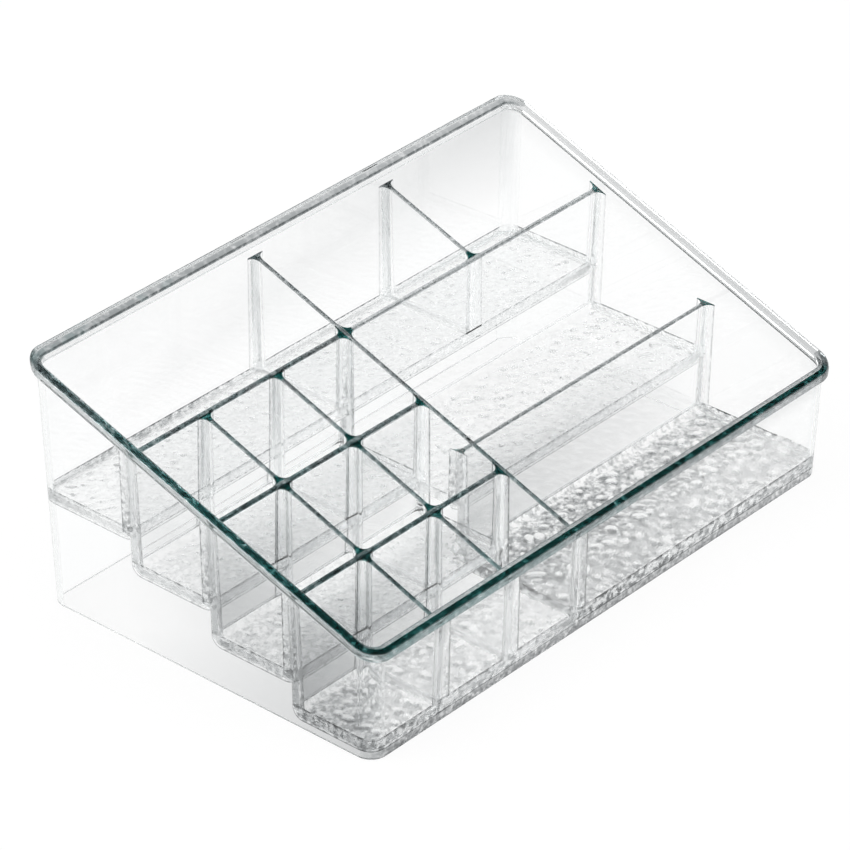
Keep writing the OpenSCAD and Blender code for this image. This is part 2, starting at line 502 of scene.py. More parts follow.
# Share of painted shade on the thin line where a fillet starts: in the middle, its fall per metre to the
# right and to the back, and its least and most
OUTLINE_SHADE = 0.9
OUTLINE_FALL = (5.0, 10.0)
OUTLINE_RANGE = (0.25, 2.2)
# How far below a rounded top edge its tint ends, and where the round's middle lies, as a share of its radius
TINT_END = 0.2 * MM
ROUND_MIDDLE = 0.293
# Where in the thickness of the floor behind it a plate changes from bare to flared
FLARE_STARTS = (0.65, 0.35)
# The center divider: its lower edge above the floors' lower faces, and lengths between its stations
CENTER_LIP = 0.15 * MM
CENTER_STEP = 0.2 * MM
CENTER_END = 8 * MM


class Plate:
    """An upright plate whose ends flare into what it meets.

    It runs along y or along x at a fixed place. An end is a face as a function of z, and a
    station is ("low" or "high", fillet angle or depth behind the face, shy) or ("at", place, 0).
    """

    def __init__(
        self, place, along, fixed, low, high, bottom,
        top=None, middle=(), behind=None, tints=(1.0, 1.0), smoke=(0.0, 0.0),
    ):
        self.place, self.along, self.fixed = place, along, fixed
        self.low, self.high, self.bottom, self.middle = low, high, bottom, middle
        self.top = top or place.top_z
        self.behind, self.tints, self.smoke = behind, tints, smoke

    def y_of(self, run, across):
        return run if self.along == "y" else across

    def point(self, run, across, z):
        return (across, run, z) if self.along == "y" else (run, across, z)

    def station(self, end, angle, sunk, z):
        """Where the plate's skin runs at a station: (run, half width)."""
        face, sign = (self.low, 1) if end == "low" else (self.high, -1)
        r = self.place.flare(self.y_of(face(z), self.fixed), z)
        if sunk:
            return face(z) - sign * sunk, self.place.half + r
        d = r * (1 - math.cos(angle))
        return face(z) + sign * d, self.place.half + r * (1 - math.sin(angle))

    def spot(self, end):
        """Where an end lies, from above."""
        face = self.low if end == "low" else self.high
        return self.point(face(self.place.floors[1]), self.fixed, 0)[:2]

    def outline_smoke(self, end):
        """Share of painted shade on the thin line where a fillet starts: most at the front on the left."""
        x, y = self.spot(end)
        share = OUTLINE_SHADE - OUTLINE_FALL[0] * x - OUTLINE_FALL[1] * y
        return min(max(share, OUTLINE_RANGE[0]), OUTLINE_RANGE[1])

    def junction_tint(self, end):
        """Tint of the top edge where the plate flares, partly painted shade: less at the back wall."""
        return float(np.interp(self.spot(end)[1], BACK_JUNCTIONS, (JUNCTION_TINT_AND_SHADE, BACK_JUNCTION_TINT_AND_SHADE)))

    def ring(self, run_of, shy, bottom, junction, haze, outline=0.0):
        """run_of(z) gives (run, half width) at a height. At a junction the top edge has that tint instead."""
        s, half = sizes(), self.place.half
        e = s.edge_r
        points, mask, smoke = [], [], []
        for side, tint in zip((-1, 1), self.tints):
            part = []
            tint = junction or tint
            bare = side == 1 and self.behind is not None
            heights = [(bottom, bare)]
            if self.behind is not None:
                below, above = (self.behind - share * s.floor_t for share in FLARE_STARTS)
                heights += [(below, bare), (above, False)]
            for z, no_flare in heights:
                run, w = run_of(z)
                w = min(w, half) if no_flare else w
                part.append((self.point(run, self.fixed + side * w, z), 0.0, max(haze, outline)))
            bend = ROUND_MIDDLE * e
            edge = ((e + TINT_END, 0.0, 0.0), (e, 0.0, tint), (bend, bend, tint), (0.0, e, tint))
            for below, inset, colour in edge:
                z = self.top(self.y_of(run_of(bottom)[0], self.fixed)) - below - shy
                for _ in range(PLATE_ROUNDS):
                    run, w = run_of(z)
                    z = self.top(self.y_of(run, self.fixed + side * w)) - below - shy
                share = 0.0 if colour else outline
                part.append((self.point(run, self.fixed + side * (w - inset), z), colour, share))
            if side == 1:
                part.reverse()
            points += [point for point, _, _ in part]
            mask += [colour for _, colour, _ in part]
            smoke += [share for _, _, share in part]
        return points, mask, smoke

    def build(self, node):
        angles = [math.pi / 2 * k / FILLET_STEPS for k in range(FILLET_STEPS + 1)]
        sunk = [(SEAT, TOP_SHY), (SEAT / 4, TOP_SHY)]
        stations = [("low", 0, depth, shy) for depth, shy in sunk] + [("low", a, 0, 0) for a in angles]
        stations += [("at", run, None, low) for run, low in self.middle]
        stations += [("high", a, 0, 0) for a in reversed(angles)]
        stations += [("high", 0, depth, shy) for depth, shy in reversed(sunk)]
        first = self.middle[0][1] if self.middle else None
        last = self.middle[-1][1] if self.middle else None
        rings, mask, smoke, grain = [], [], [], []
        for end, value, depth, extra in stations:
            if end == "at":
                ring, tint, share = self.ring(lambda z, v=value: (v, self.place.half), 0.0, extra, 0.0, 0.0)
            else:
                bottom = self.bottom if self.bottom is not None else (first if end == "low" else last)
                flared = value < angles[-1]
                # Painted shade at this end of the plate, with a least share on a cross wall's flared left end
                haze = self.smoke[end == "high"]
                if flared and end == "low" and self.along == "x":
                    haze = max(haze, END_SHADE)
                run_of = lambda z, e=end, a=value, d=depth: self.station(e, a, d, z)
                junction = self.junction_tint(end) if flared else 0.0
                outline = 0.0 if value or depth else self.outline_smoke(end)
                ring, tint, share = self.ring(run_of, extra, bottom, junction, haze, outline)
                if depth:
                    tint, share = [0.0] * len(ring), [0.0] * len(ring)
            rings.append(ring)
            mask += tint
            smoke += share
            rough = END_GRAIN if end == "low" and self.along == "x" else 1.0
            if not value:
                rough = LINE_GRAIN
            grain += [rough if end != "at" and value < angles[-1] else 0.0] * len(ring)
        verts, faces = loft(rings)
        return add_piece(node, verts, faces, mask, smoke, grain)


def fixed_face(value):
    return lambda z: value


def fillet_places(r, steps):
    """Places across a fillet from the wall, close together where it is steep."""
    return [r * (1 - math.cos(math.pi / 2 * k / steps)) for k in range(steps + 1)]


def arc(run, low, radius):
    """A rounded lower corner that ends at run: (run, height) pairs."""
    pairs = []
    for k in range(ARC_STEPS + 1):
        a = math.pi / 2 * k / ARC_STEPS
        pairs.append((run - radius + radius * math.sin(a), low + radius * (1 - math.cos(a))))
    return pairs


class ORGANIZER_OT_dividers(bpy.types.Operator):
    """Make the center divider, the back row's divider and the six lengths of the slot dividers"""

    bl_idname = "organizer.dividers"
    bl_label = "Dividers"

    def center_stations(self, s, p, deck):
        """Lower edge of the center divider, which follows the floors beside it up the steps."""
        tops = (p.floors[0], min(p.floors[1], s.tray_floor_h), min(p.floors[2], s.tray_floor_h))
        lows = [top - s.floor_t + CENTER_LIP for top in tops]
        middle = [(p.front(0) + CENTER_END, lows[0])]
        for k, end in enumerate((p.tray_y + p.half, p.rows[1] + p.half, p.rows[2] + p.half)):
            if k:
                middle.append((middle[-1][0] + CENTER_STEP, lows[k]))
            middle += arc(end, lows[k], s.cove_r + s.floor_t)
        return middle + [(middle[-1][0] + CENTER_STEP, deck), (p.back(0) - CENTER_END, deck)]

    def execute(self, context):
        s, p = sizes(), Layout()
        sunk = s.cove_r - SEAM
        for column, name in ((1, "right"), (2, "left")):
            for row, part in enumerate(("front", "middle", "rear")):
                low = p.front if row == 0 else fixed_face(p.rows[row - 1] + p.half)
                plate = Plate(
                    p, "y", p.columns[column], low, fixed_face(p.rows[row] - p.half), p.floors[row] + sunk,
                    tints=ALONG_Y_TINT_AND_SHADE,
                )
                plate.build(f"{name}_slot_divider_{part}")
        front, deck = fixed_face(p.rows[2] + p.half), p.floors[3] + sunk
        Plate(p, "y", p.back_x, front, p.back, deck, tints=BACK_ROW_TINT_AND_SHADE).build("back_row_divider")
        middle = self.center_stations(s, p, deck)
        plate = Plate(p, "y", p.columns[0], p.front, p.back, None, middle=middle, tints=ALONG_Y_TINT_AND_SHADE)
        plate.build("center_divider")
        return {"FINISHED"}


class ORGANIZER_OT_cross_walls(bpy.types.Operator):
    """Make the walls from side to side, which are also the risers of the steps"""

    bl_idname = "organizer.cross_walls"
    bl_label = "Cross Walls"

    def execute(self, context):
        s, p = sizes(), Layout()
        sunk = s.cove_r - SEAM
        left_of, right_of = fixed_face(p.columns[0] - p.half), fixed_face(p.columns[0] + p.half)
        for row, node in enumerate(("front_slot_wall", "rear_slot_wall", "back_row_wall_left")):
            plate = Plate(
                p, "x", p.rows[row], p.left, left_of, p.floors[row] + sunk,
                behind=p.floors[row + 1], tints=ALONG_X_TINT_AND_SHADE, smoke=RISER_SHADE[row],
            )
            plate.build(node)
        low = s.tray_floor_h + sunk
        plate = Plate(p, "x", p.rows[2], right_of, p.right, low, behind=p.floors[3], tints=RIGHT_TINT_AND_SHADE)
        plate.build("back_row_wall_right")
        plate = Plate(
            p, "x", p.tray_y, right_of, p.right, p.floors[0] + sunk,
            top=lambda y: s.tray_divider_h, behind=s.tray_floor_h, tints=TRAY_TINT_AND_SHADE, smoke=TRAY_SHADE,
        )
        plate.build("tray_divider")
        return {"FINISHED"}


# Floors


# A pebble layer repeats after this many cells, with one oval cap in each. The pairs are the least value
# and the range: place in the cell, half width, flatness and height of a cap.
CELLS = 128
CELL_SHIFT = 40
CAP_PLACE = (0.15, 0.7)
CAP_WIDTH = (0.27, 0.24)
CAP_FLAT = (0.62, 0.35)
CAP_HEIGHT = (0.35, 0.65)
CAP_POWER = 0.8
# Width of the painted dark line round a cap's foot, as a share of the cap
FOOT_LINE = 0.22
# The rows of pebbles sway by a share of their spacing, at one rate across and another along
SWAY = 0.25
SWAY_RATES = (1.7, 1.3)
# Small pebbles lie among the others: their spacing, height and foot lines against those
SMALL_SPACING = 0.55
SMALL_HEIGHT = 0.5
SMALL_FOOT = 0.7
# Painted shade between pebbles, how fast it fades as they rise, and painted shade of the foot lines up to a
# height
BETWEEN_SHADE = 0.55
BETWEEN_FALL = 1.6
FOOT_LINE_SHADE = 0.6
FOOT_LINE_TOP = 0.45


def spread(pair, share):
    return pair[0] + pair[1] * share


def pebble_layer(x, y, spacing, seed):
    """Height of one layer of scattered oval caps, as a share, and how near a point is to a cap's foot."""
    rng = np.random.RandomState(seed)
    jitter = rng.rand(CELLS, CELLS, 5)
    sx, sy = x / spacing + CELL_SHIFT, y / spacing + CELL_SHIFT
    cx, cy = np.floor(sx).astype(int), np.floor(sy).astype(int)
    height = np.zeros(x.shape)
    foot = np.zeros(x.shape)
    for dx in (-1, 0, 1):
        for dy in (-1, 0, 1):
            own = jitter[(cx + dx) % CELLS, (cy + dy) % CELLS]
            px = sx - (cx + dx + spread(CAP_PLACE, own[..., 0]))
            py = sy - (cy + dy + spread(CAP_PLACE, own[..., 1]))
            turn = own[..., 2] * math.pi
            along = px * np.cos(turn) + py * np.sin(turn)
            across = py * np.cos(turn) - px * np.sin(turn)
            wide = spread(CAP_WIDTH, own[..., 3])
            d = np.hypot(along / wide, across / (wide * spread(CAP_FLAT, own[..., 4])))
            cap = np.clip(1 - d * d, 0, 1) ** CAP_POWER * spread(CAP_HEIGHT, own[..., 3])
            height = np.maximum(height, cap)
            foot = np.maximum(foot, np.exp(-((d - 1.0) / FOOT_LINE) ** 2))
    return height, foot


def pebbles(x, y, seed, coarse):
    """Height share of pebbles at points in metres, and the share of painted shade between and around them."""
    w = sizes().pebble_w * coarse
    swayed_x = x + SWAY * w * np.sin(y / w * SWAY_RATES[0] + seed)
    swayed_y = y + SWAY * w * np.sin(x / w * SWAY_RATES[1] + 2 * seed)
    big, big_foot = pebble_layer(swayed_x, swayed_y, w, seed)
    small, small_foot = pebble_layer(swayed_x, swayed_y, SMALL_SPACING * w, seed + 1)
    height = np.maximum(big, SMALL_HEIGHT * small)
    # Painted shade between the pebbles, and painted dark lines round their feet
    between = BETWEEN_SHADE * np.clip(1 - BETWEEN_FALL * height, 0, 1)
    foot = FOOT_LINE_SHADE * np.maximum(big_foot, SMALL_FOOT * small_foot) * (height < FOOT_LINE_TOP)
    return height, np.clip(between + foot, 0, 1)


# Share of painted shade on a floor between its pebbles at its left and right ends, and the seed of its
# pebbles
FLOOR_SHADES = {
    "back_row_floor": (0.14, 0.08, 11), "rear_slot_floor": (0.22, 0.06, 22),
    "middle_slot_floor": (0.38, 0.08, 21), "front_slot_floor": (0.9, 0.3, 31),
    "middle_tray_floor": (0.14, 0.05, 33), "front_tray_floor": (1.3, 0.5, 32),
}
# Shares of painted shade for each share of the floor's own shade: in the coves, on the outer edges and, with
# a share of its own, on the thin lines where a floor meets a wall
COVE_SHADE = 0.2
EDGE_SHADE = 0.35
LINE_SHADE = (1.6, 3.0)
# Pebbles of the trays and of the front floors, against those of the others
COARSE = 1.4
# Share of painted shade on the back row's coves and rear edge at the far left, and the width from the middle
# to there
BACK_LIP = 0.3
LIP_REACH = 60 * MM
# Graininess of the coves and of the outer edges
COVE_GRAIN = 3.0
EDGE_GRAIN = 4.0
# Painted dark lines of a floor's lower face, against those of its upper face
UNDER_LINE = 0.5
# Pebbles fade in from this share of a cove's width on, over this distance
FADE_START = 0.9
FADE_WIDTH = 1.2 * MM
# How far a floor's lower face bends up under a riser, just short of upright
RISER_BEND = math.radians(86)
# Lengths below these count as nothing, in corners and on the line where a floor meets a wall
TINY = 1e-9
ON_LINE = 1e-6


class Pan:
    """A floor with a cove round each pocket. Its back edge is a wall or turns up into a riser."""

    def __init__(
        self, place, top, pockets, y_low, y_high, riser, under, corners, seed, marks, lip=0.0, coarse=1.0,
    ):
        self.place, self.top, self.pockets = place, top, pockets
        self.y_low, self.y_high, self.riser = y_low, y_high, riser
        self.under, self.corners, self.seed = under, corners, seed
        self.marks, self.lip, self.coarse = marks, lip, coarse

    def lines(self, spans, low_out, high_out):
        """Mesh lines across pockets, close together in the coves: arrays of place and pocket number."""
        r, pitch = sizes().cove_r, sizes().pebble_pitch
        near = fillet_places(r, FILLET_STEPS)
        places, pocket = [low_out], [-1]
        for number, (a, b) in enumerate(spans):
            n = max(2, round((b - a - 2 * r) / pitch))
            inner = [a + r + (b - a - 2 * r) * k / n for k in range(1, n)]
            for value in [a + d for d in near] + inner + [b - d for d in reversed(near)]:
                places.append(value)
                pocket.append(number)
        places.append(high_out)
        pocket.append(-1)
        return np.array(places), np.array(pocket)

    def surface(self):
        """Points of the upper face with their share of painted shade and graininess, and the mesh lines both
        ways.
        """
        s = sizes()
        r = s.cove_r
        back = self.y_high + (s.divider_t if self.riser else SEAT)
        xs, xp = self.lines(self.pockets, self.pockets[0][0] - SEAT, self.pockets[-1][1] + SEAT)
        ys, yp = self.lines([(self.y_low, self.y_high)], self.y_low - SEAT, back)
        x, y = np.meshgrid(xs, ys, indexing="ij")
        z = np.full(x.shape, self.top + r)
        inside = (xp[:, None] >= 0) & (yp[None, :] >= 0)
        d = np.zeros(x.shape)
        turned = np.zeros(x.shape, bool)
        for number, (a, b) in enumerate(self.pockets):
            mine = inside & (xp[:, None] == number)
            for sx in (0, 1):
                for sy in (0, 1):
                    reach = mine
                    if (number, sx, sy) in self.corners:
                        columns, rows = xp == number, yp == 0
                        columns[-sx] = rows[-sy] = True
                        reach = columns[:, None] & rows[None, :]
                    flare = self.place.flare(self.y_high if sy else self.y_low, self.top + r)
                    rc = self.corners.get((number, sx, sy)) or flare
                    dx = (b - x) if sx else (x - a)
                    dy = (self.y_high - y) if sy else (y - self.y_low)
                    corner = reach & (dx < rc - TINY) & (dy < rc - TINY)
                    m = np.maximum(rc - dx, rc - dy)
                    f = m / np.maximum(np.hypot(rc - dx, rc - dy), TINY)
                    cx = (b - rc) if sx else (a + rc)
                    cy = (self.y_high - rc) if sy else (self.y_low + rc)
                    nx = cx + (x - cx) * f
                    ny = cy + (y - cy) * f
                    x = np.where(corner, nx, x)
                    y = np.where(corner, ny, y)
                    d = np.where(corner, rc - m, d)
                    done = corner if (sx, sy) == (0, 0) else done | corner
                    turned |= corner
            rest = mine & ~done
            nearest = np.minimum(np.minimum(x - a, b - x), np.minimum(y - self.y_low, self.y_high - y))
            d = np.where(rest, nearest, d)
        c = np.clip(r - d, 0, r)
        cove = r - np.sqrt(np.maximum(r * r - c * c, 0))
        fade = np.clip((d - FADE_START * r) / FADE_WIDTH, 0, 1)
        fade = fade * fade * (3 - 2 * fade)
        height, smoke = pebbles(x, y, self.seed, self.coarse)
        z = np.where(inside, self.top + cove + s.pebble_h * self.coarse * fade * height, z)
        # Painted shade of the floor, which changes from its left end to its right
        marks = self.marks_at(x)
        lip = self.lip * np.clip(-x / LIP_REACH, 0, 1)
        turning = np.clip(1 - np.minimum(y - self.y_low, self.y_high - y) / r, 0, 1) * lip
        turning = np.maximum(turning, COVE_SHADE * marks * (1 - fade))
        shared = np.zeros(len(xp), bool)
        shared[:-1] = (xp[:-1] >= 0) & (xp[1:] >= 0) & (xp[:-1] != xp[1:])
        shared[1:] |= shared[:-1]
        edge = inside & (d < ON_LINE) & ~shared[:, None] & ~turned
        if self.riser:
            edge[:, -2:] = False
        turning = np.maximum(turning, (LINE_SHADE[0] + LINE_SHADE[1] * marks) * edge)
        smoke = np.where(inside, np.maximum(fade * smoke * marks, turning), 0.0)
        grain = np.where(inside, fade + COVE_GRAIN * (1 - fade), 0.0)
        return x, y, z, smoke, np.where(edge, LINE_GRAIN, grain), xs, ys

    def marks_at(self, x):
        left, right = self.pockets[0][0], self.pockets[-1][1]
        return np.interp(x, (left, right), self.marks)

    def below(self):
        """Points of the lower face, with fillets at walls and the outer bend at a riser."""
        s = sizes()
        r, outer = s.under_r, s.corner_r - s.wall_t
        left, right, front, back = self.pockets[0][0], self.pockets[-1][1], self.y_low, self.y_high
        near = [-SEAT, *fillet_places(r, UNDER_STEPS), outer / 2, outer]
        bottom = self.top - s.floor_t
        xs = [left + d for d in near] + [right - d for d in reversed(near)]
        ys = [(front + d, bottom) for d in near]
        if self.riser:
            turn, end = s.cove_r + s.floor_t, self.y_high + s.divider_t
            for k in range(ARC_STEPS + 1):
                a = RISER_BEND * k / ARC_STEPS
                ys.append((end - turn + turn * math.sin(a), self.top + s.cove_r - turn * math.cos(a)))
        else:
            ys += [(back - d, bottom) for d in reversed(near)]
        round_corners = {}
        for (number, sx, sy), radius in self.corners.items():
            round_corners[0 if number == 0 and sx == 0 else 1, sy] = radius

        def point(x, y, z):
            gaps = [x - left, right - x, y - front, SEAT + r if self.riser else back - y]
            for (sx, sy), radius in round_corners.items():
                dx, dy = radius - gaps[sx], radius - gaps[2 + sy]
                if dx > 0 and dy > 0:
                    m = max(dx, dy)
                    f = m / math.hypot(dx, dy)
                    x += (dx - dx * f) * (1 if sx == 0 else -1)
                    y += (dy - dy * f) * (1 if sy == 0 else -1)
                    gaps[sx] = gaps[2 + sy] = radius - m
            drops = [0.0]
            for gap, has in zip(gaps, self.under):
                c = min(max(r - gap, 0.0), r)
                drops.append(has * (r - math.sqrt(max(r * r - c * c, 0.0))))
            return x, y, z - max(drops)

        points = [point(x, y, z) for x in xs for y, z in ys]
        return points, xs, [y for y, _ in ys]

    def build(self, node):
        x, y, z, smoke, grain, tx, ty = self.surface()
        nx, ny = x.shape
        verts = np.stack([x.ravel(), y.ravel(), z.ravel()], axis=1).tolist()
        top = lambda i, j: i * ny + j
        faces = [
            (top(i, j), top(i + 1, j), top(i + 1, j + 1), top(i, j + 1))
            for i in range(nx - 1) for j in range(ny - 1)
        ]
        points, bx, by = self.below()
        base, mx, my = len(verts), len(bx), len(by)
        verts += points
        at = lambda i, j: base + i * my + j
        faces += [
            (at(i, j), at(i, j + 1), at(i + 1, j + 1), at(i + 1, j))
            for i in range(mx - 1) for j in range(my - 1)
        ]
        for i, k in ((0, 0), (nx - 1, mx - 1)):
            faces += bridge([top(i, j) for j in range(ny)], [at(k, j) for j in range(my)], ty, by)
        for j, k in ((0, 0), (ny - 1, my - 1)):
            faces += bridge([top(i, j) for i in range(nx)], [at(i, k) for i in range(mx)], tx, bx)
        low = np.zeros((mx, my))
        below = self.marks_at(np.array(bx))[:, None]
        line = np.broadcast_to(UNDER_LINE * (LINE_SHADE[0] + LINE_SHADE[1] * below), low.shape)
        edge = np.broadcast_to(EDGE_SHADE * below, low.shape)
        rows = [1] if self.riser else [1, -2]
        low[[1, -2], :], low[:, rows] = line[[1, -2], :], line[:, rows]
        low[[0, -1], :], low[:, 0] = edge[[0, -1], :], edge[:, 0]
        caps = np.zeros((nx, ny), bool)
        caps[[0, -1], :] = caps[:, 0] = True
        if not self.riser:
            caps[:, -1] = True
            smoke[:, -1] = self.lip * np.clip(-x[:, -1] / LIP_REACH, 0, 1)
        smoke = np.where(caps, np.maximum(EDGE_SHADE * self.marks_at(x), smoke), smoke)
        shares = np.concatenate([smoke.ravel(), low.ravel()])
        grain = np.where(caps, EDGE_GRAIN, grain)
        if self.lip:
            grain[:, -1] = 0.0
        rough = np.where(low > 0, EDGE_GRAIN, 0.0)
        rough[[1, -2], :] = rough[:, rows] = LINE_GRAIN
        grains = np.concatenate([grain.ravel(), rough.ravel()])
        return add_piece(node, verts, faces, None, shares, grains, FLOOR_SHARP)


class ORGANIZER_OT_floors(bpy.types.Operator):
    """Make the six pebbled floors"""

    bl_idname = "organizer.floors"
    bl_label = "Floors"

    def execute(self, context):
        s, p = sizes(), Layout()
        c, h = p.columns, p.half
        outer = s.corner_r - s.wall_t

        def spans(z, cuts, low=None, high=None):
            """Pockets from side to side at the height where the coves end."""
            at = z + s.cove_r
            edges = [p.left(at) if low is None else low]
            for cut in cuts:
                edges += [cut - h, cut + h]
            edges.append(p.right(at) if high is None else high)
            return list(zip(edges[::2], edges[1::2]))

        def round_fronts(last, front, z):
            """Front corners that follow the wall in front's fillets, so that light isn't caught in them."""
            r = p.flare(front, z)
            return {(0, 0, 0): r, (last, 1, 0): r}

        def make(node, z, pockets, front, back, riser, under, corners, **more):
            *marks, seed = FLOOR_SHADES[node]
            Pan(p, z, pockets, front, back, riser, under, corners, seed, marks, **more).build(node)

        slots = (c[2], c[1])
        on_left, on_right, all_round = (1, 0, 1, 0), (0, 1, 1, 0), (1, 1, 1, 1)
        z, front = p.floors[3], p.rows[2] + h
        corners = {(0, 0, 1): outer, (2, 1, 1): outer, **round_fronts(2, front, z)}
        pockets = spans(z, (c[0], p.back_x))
        back = p.back(z + s.cove_r)
        make("back_row_floor", z, pockets, front, back, False, all_round, corners, lip=BACK_LIP)
        for row, node in ((2, "rear_slot_floor"), (1, "middle_slot_floor")):
            z, front = p.floors[row], p.rows[row - 1] + h
            pockets, corners = spans(z, slots, high=c[0] - h), round_fronts(2, front, z)
            make(node, z, pockets, front, p.rows[row] - h, True, on_left, corners)
        z = p.floors[0]
        front, pockets = p.front(z + s.cove_r), spans(z, slots, high=c[0] - h)
        corners = {(0, 0, 0): outer}
        make("front_slot_floor", z, pockets, front, p.rows[0] - h, True, on_left, corners, coarse=COARSE)
        pockets, corners = spans(z, (), low=c[0] + h), {(0, 1, 0): outer}
        make("front_tray_floor", z, pockets, front, p.tray_y - h, True, on_right, corners, coarse=COARSE)
        z, front = s.tray_floor_h, p.tray_y + h
        pockets, corners = spans(z, (), low=c[0] + h), round_fronts(0, front, z)
        back = p.rows[2] - h
        make("middle_tray_floor", z, pockets, front, back, True, on_right, corners, coarse=COARSE)
        return {"FINISHED"}


# Shading


class Value:
    """A socket that takes part in sums, so that shader maths reads as an expression."""

    def __init__(self, tree, socket):
        self.tree, self.socket = tree, socket

    def math(self, operation, *others, clamp=False):
        sockets = {k: v for k, v in enumerate((self, *others))}
        return self.tree.node("ShaderNodeMath", {"operation": operation, "use_clamp": clamp}, sockets)

    def __add__(self, other):
        return self.math("ADD", other)

    def __radd__(self, other):
        return self + other

    def __sub__(self, other):
        return self.math("SUBTRACT", other)

    def __rsub__(self, other):
        return self.tree.node("ShaderNodeMath", {"operation": "SUBTRACT"}, {0: other, 1: self})

    def __mul__(self, other):
        return self.math("MULTIPLY", other)

    def __rmul__(self, other):
        return self * other

    def clamped(self):
        return self.math("ADD", 0.0, clamp=True)


class Tree:
    """A node tree that is filled by one method."""

    def __init__(self, holder):
        holder.use_nodes = True
        self.nodes, self.links = holder.node_tree.nodes, holder.node_tree.links
        self.nodes.clear()

    def node(self, kind, settings=None, sockets=None, out=0):
        node = self.nodes.new(kind)
        for name, value in (settings or {}).items():
            if name == "stops":
                ramp = node.color_ramp
                while len(ramp.elements) < len(value):
                    ramp.elements.new(1.0)
                for element, (at, colour) in zip(ramp.elements, value):
                    element.position, element.color = at, (*colour, 1.0)
            else:
                setattr(node, name, value)
        for name, value in (sockets or {}).items():
            if isinstance(value, Value):
                self.links.new(value.socket, node.inputs[name])
            else:
                node.inputs[name].default_value = value
        return Value(self, node.outputs[out])

    def output(self, kind, shader):
        self.links.new(shader.socket, self.nodes.new(kind).inputs["Surface"])


# Scale and detail of each noise: the edge tint's change of colour and its mottling, the relief and the
# mottling of the painted shade at grainy places, and the slow swell of all faces
WANDER = (90.0, 3.0)
MOTTLE = (420.0, 2.0)
SPECKS = (800.0, 2.0)
SHADE_MOTTLE = (450.0, 3.0)
SWELL = (38.0, 1.0)
NOISE_ROUGHNESS = 0.6
# How much those noises change the tint's colour, the tint and the painted shade, and the tint's least and
# most
WANDER_SHARE = 0.6
MOTTLE_SHARE = 3.0
SHADE_MOTTLE_SHARE = 6.0
MOTTLE_LIMITS = (0.2, 1.15)
# Relief of all faces and of grainy places
SWELL_RELIEF = {"Strength": 0.02, "Distance": 0.6 * MM}
SPECK_RELIEF = {"Strength": 0.5, "Distance": 0.2 * MM}
# How fast the edge tint goes over to its back colour, per metre to the right and to the back: the edges turn
# lighter towards the back right as painted light
TINT_AND_SHADE_CHANGE = 1.5


def make_clear_plastic():
    look = looks()
    material = bpy.data.materials.new("clear plastic")
    tree = Tree(material)
    spot = tree.node("ShaderNodeTexCoord", out=3)
    x = tree.node("ShaderNodeSeparateXYZ", {}, {0: spot}, out=0)
    y = tree.node("ShaderNodeSeparateXYZ", {}, {0: spot}, out=1)
    mask, smoke, grain = (
        tree.node("ShaderNodeAttribute", {"attribute_name": name, "attribute_type": "GEOMETRY"}, out=2)
        for name in (EDGE_TINT_AND_SHADE, PAINTED_SHADE, GRAIN)
    )
    outside = 1.0 - tree.node("ShaderNodeNewGeometry", out=6)

    def noise(scale, detail):
        sockets = {"Vector": spot, "Scale": scale, "Detail": detail, "Roughness": NOISE_ROUGHNESS}
        return tree.node("ShaderNodeTexNoise", {"noise_dimensions": "3D"}, sockets)

    # 0 at the low front and in the junctions, 1 at the high back: the edges' painted shade lightens towards
    # the back
    far = y * TINT_AND_SHADE_CHANGE + x * TINT_AND_SHADE_CHANGE + 1.0 + (noise(*WANDER) - 0.5) * WANDER_SHARE
    far = (far - (mask.math("MAXIMUM", 1.0) - 1.0)).clamped()
    mottle = ((noise(*MOTTLE) - 0.5) * MOTTLE_SHARE + 1.0).math("MAXIMUM", MOTTLE_LIMITS[0])
    # The top edges tint what enters through them, not what leaves; this tint is partly painted shade
    edge = (mask * outside).clamped() * mottle.math("MINIMUM", MOTTLE_LIMITS[1])
    specks = noise(*SPECKS) - 0.5
    shade_mottle = noise(*SHADE_MOTTLE) - 0.5
    # Painted shade, mottled by noise at grainy places
    haze = smoke.math("MAXIMUM", 0.0) * (shade_mottle * grain * SHADE_MOTTLE_SHARE + 1.0).math("MAXIMUM", 0.0)
    # What passes a face falls off with its tint and its painted shade. The base colour is the square of what
    # passes.
    channels = {}
    colours = zip(look.body, look.edge_front, look.edge_back, look.smoky)
    for k, (body, front, back, smoky) in enumerate(colours):
        tint = (far * (math.log(back) - math.log(front)) + math.log(front)) * edge
        depth = tint + haze * math.log(smoky) + math.log(body)
        channels[k] = (depth * 2.0).math("EXPONENT")
    colour = tree.node("ShaderNodeCombineColor", {}, channels)
    normal = tree.node("ShaderNodeBump", {}, {**SWELL_RELIEF, "Height": noise(*SWELL)})
    normal = tree.node("ShaderNodeBump", {}, {**SPECK_RELIEF, "Height": specks * grain, "Normal": normal})
    shader = tree.node(
        "ShaderNodeBsdfPrincipled", {},
        {
            "Base Color": colour, "Roughness": 0.0, "IOR": look.ior,
            "Transmission Weight": 1.0, "Normal": normal,
        },
    )
    tree.output("ShaderNodeOutputMaterial", shader)
    return material


class ORGANIZER_OT_materials(bpy.types.Operator):
    """Make the clear plastic"""

    bl_idname = "organizer.materials"
    bl_label = "Clear Plastic"

    def execute(self, context):
        make_clear_plastic()
        return {"FINISHED"}


# Studio


# Where the sloped tops mirror the studio, seen from the photograph's place
MIRRORED = (0.648, 0.093, 0.756)
# The flag fades in between two cosines of the angle to there
FLAG_EDGE = (0.9, 0.96)
# The floor lies just under the foot, and shows mostly as a plain white that takes a soft shadow
FLOOR_REACH = 12.0
FLOOR_Z = -0.05 * MM
FLOOR_PAINT = (0.9, 0.9, 0.9, 1.0)
FLOOR_GLOW = 0.93
WHITE = (1.0, 1.0, 1.0)
